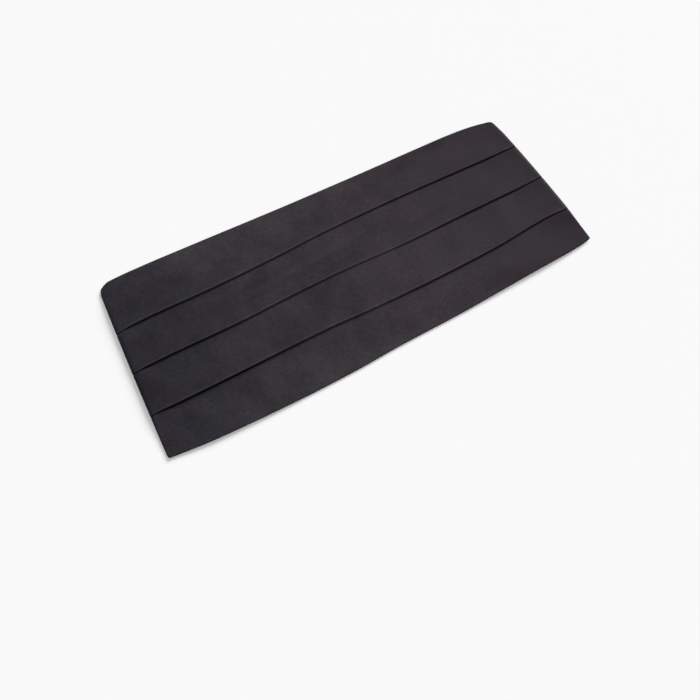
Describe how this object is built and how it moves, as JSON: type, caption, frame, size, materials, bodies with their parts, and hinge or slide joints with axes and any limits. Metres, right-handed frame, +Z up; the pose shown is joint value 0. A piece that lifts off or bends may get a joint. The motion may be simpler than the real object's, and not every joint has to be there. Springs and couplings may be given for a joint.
{
  "type": "cummerbund",
  "caption": "Black satin cummerbund folded in three and laid flat: a pleated front panel over its two narrowing tails, with their straps and hook.",
  "frame": {"origin": "on the table under the middle of the folded cummerbund's box", "axes": "+X along the band from the left end fold to the right one, +Y to the edge worn upwards, +Z up from the table through the pleated front"},
  "size_m": [0.2868, 0.1266, 0.0075],
  "materials": {
    "satin": "black satin weave, softly shining",
    "strap": "black ribbed ribbon, matt",
    "clasp": "black enamelled flat hook"
  },
  "bodies": {
    "root": {"pleat_1": "satin", "pleat_2": "satin", "pleat_3": "satin", "pleat_4": "satin", "strap_left": "strap", "strap_right": "strap", "hook_clasp": "clasp"}
  },
  "joints": []
}
